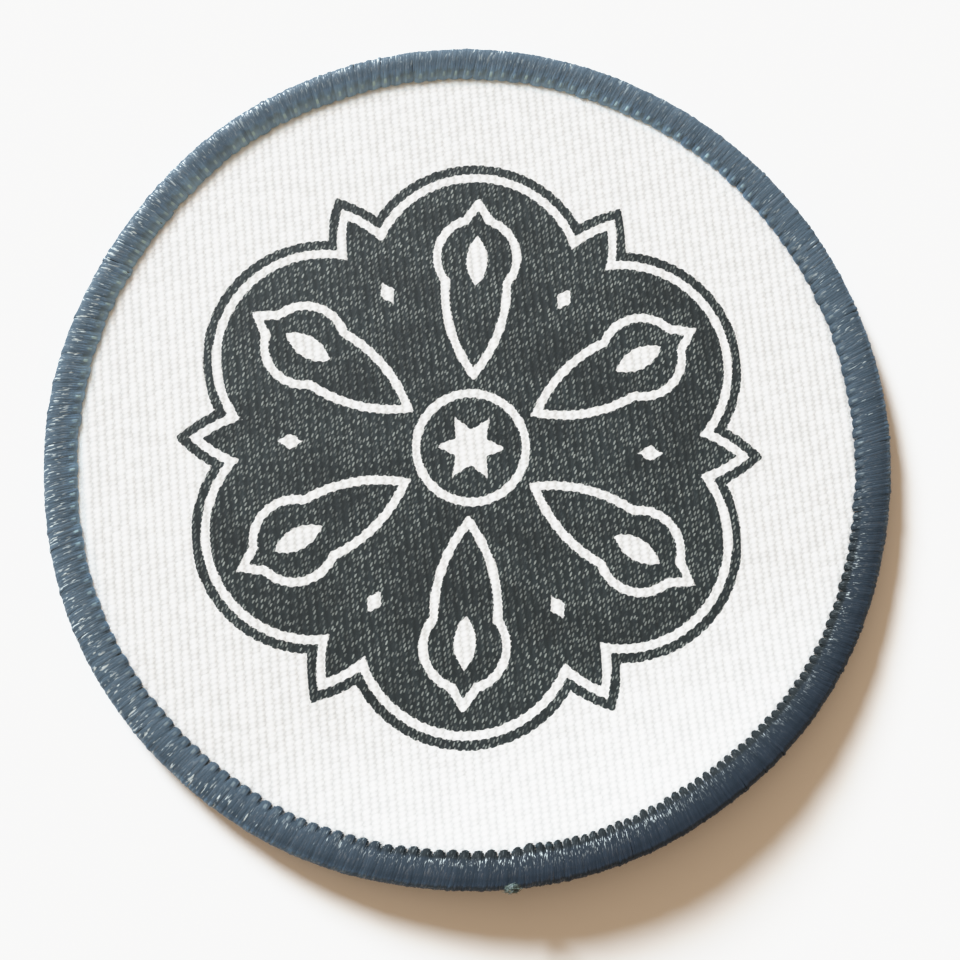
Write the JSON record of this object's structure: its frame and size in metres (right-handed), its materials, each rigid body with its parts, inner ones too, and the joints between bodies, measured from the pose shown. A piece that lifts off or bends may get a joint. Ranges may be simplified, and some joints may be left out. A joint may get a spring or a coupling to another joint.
{
  "type": "round clothing patch",
  "caption": "Round printed twill cloth patch with a raised overlocked thread border, its lower rim curled up a little, for sewing or gluing to clothing.",
  "frame": {"origin": "on the surface that the patch lies on, below the middle of the patch", "axes": "+X to the right of the face, +Y to the top of the face, +Z out of the printed face"},
  "size_m": [0.09, 0.09, 0.0055],
  "materials": {
    "twill": "matt white polyester twill",
    "thread": "glossy dark navy polyester thread",
    "ink": "near-black ink dyed into the twill"
  },
  "bodies": {
    "root": {"twill_face": "twill", "merrow_border": "thread", "thread_end": "thread", "print_outline": "ink", "print_field": "ink", "print_boss": "ink", "print_petal_1": "ink", "print_petal_2": "ink", "print_petal_3": "ink", "print_petal_4": "ink", "print_petal_5": "ink", "print_petal_6": "ink"}
  },
  "joints": []
}
